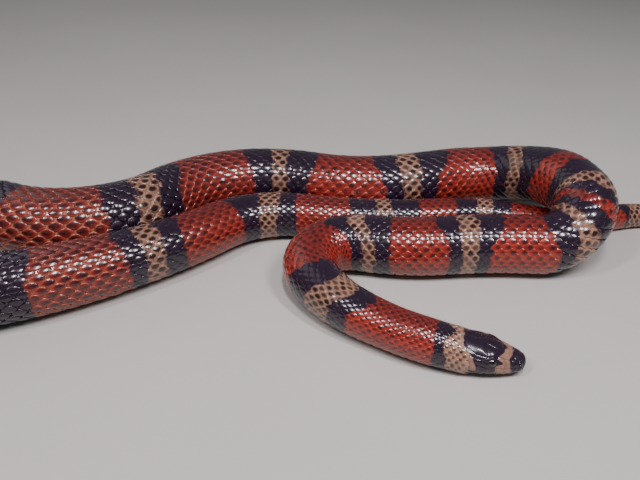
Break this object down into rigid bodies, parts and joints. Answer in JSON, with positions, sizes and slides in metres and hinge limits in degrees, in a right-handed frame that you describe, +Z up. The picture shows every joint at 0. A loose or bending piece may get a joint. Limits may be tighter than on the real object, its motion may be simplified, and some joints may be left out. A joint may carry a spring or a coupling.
{
  "type": "milk snake figure",
  "caption": "Life-size still figure of a milk snake resting in loose coils, one bend lying over its tail.",
  "frame": {"origin": "on the floor under the middle of the figure's bounding box", "axes": "+Z up from the floor; +X along the coils, the way the head points; +Y to the back of the coils, away from the head"},
  "size_m": [0.4183, 0.1587, 0.0422],
  "materials": {
    "scaled_skin": "smooth glossy scales in red, black and cream rings",
    "eye": "wet, polished dark eye"
  },
  "bodies": {
    "root": {"head": "scaled_skin", "neck": "scaled_skin", "body_01": "scaled_skin", "body_02": "scaled_skin", "body_03": "scaled_skin", "body_04": "scaled_skin", "body_05": "scaled_skin", "body_06": "scaled_skin", "body_07": "scaled_skin", "body_08": "scaled_skin", "body_09": "scaled_skin", "body_10": "scaled_skin", "body_11": "scaled_skin", "body_12": "scaled_skin", "body_13": "scaled_skin", "body_14": "scaled_skin", "body_15": "scaled_skin", "body_16": "scaled_skin", "body_17": "scaled_skin", "body_18": "scaled_skin", "body_19": "scaled_skin", "body_20": "scaled_skin", "tail_01": "scaled_skin", "tail_02": "scaled_skin", "tail_03": "scaled_skin", "eye_left": "eye", "eye_right": "eye"}
  },
  "joints": []
}
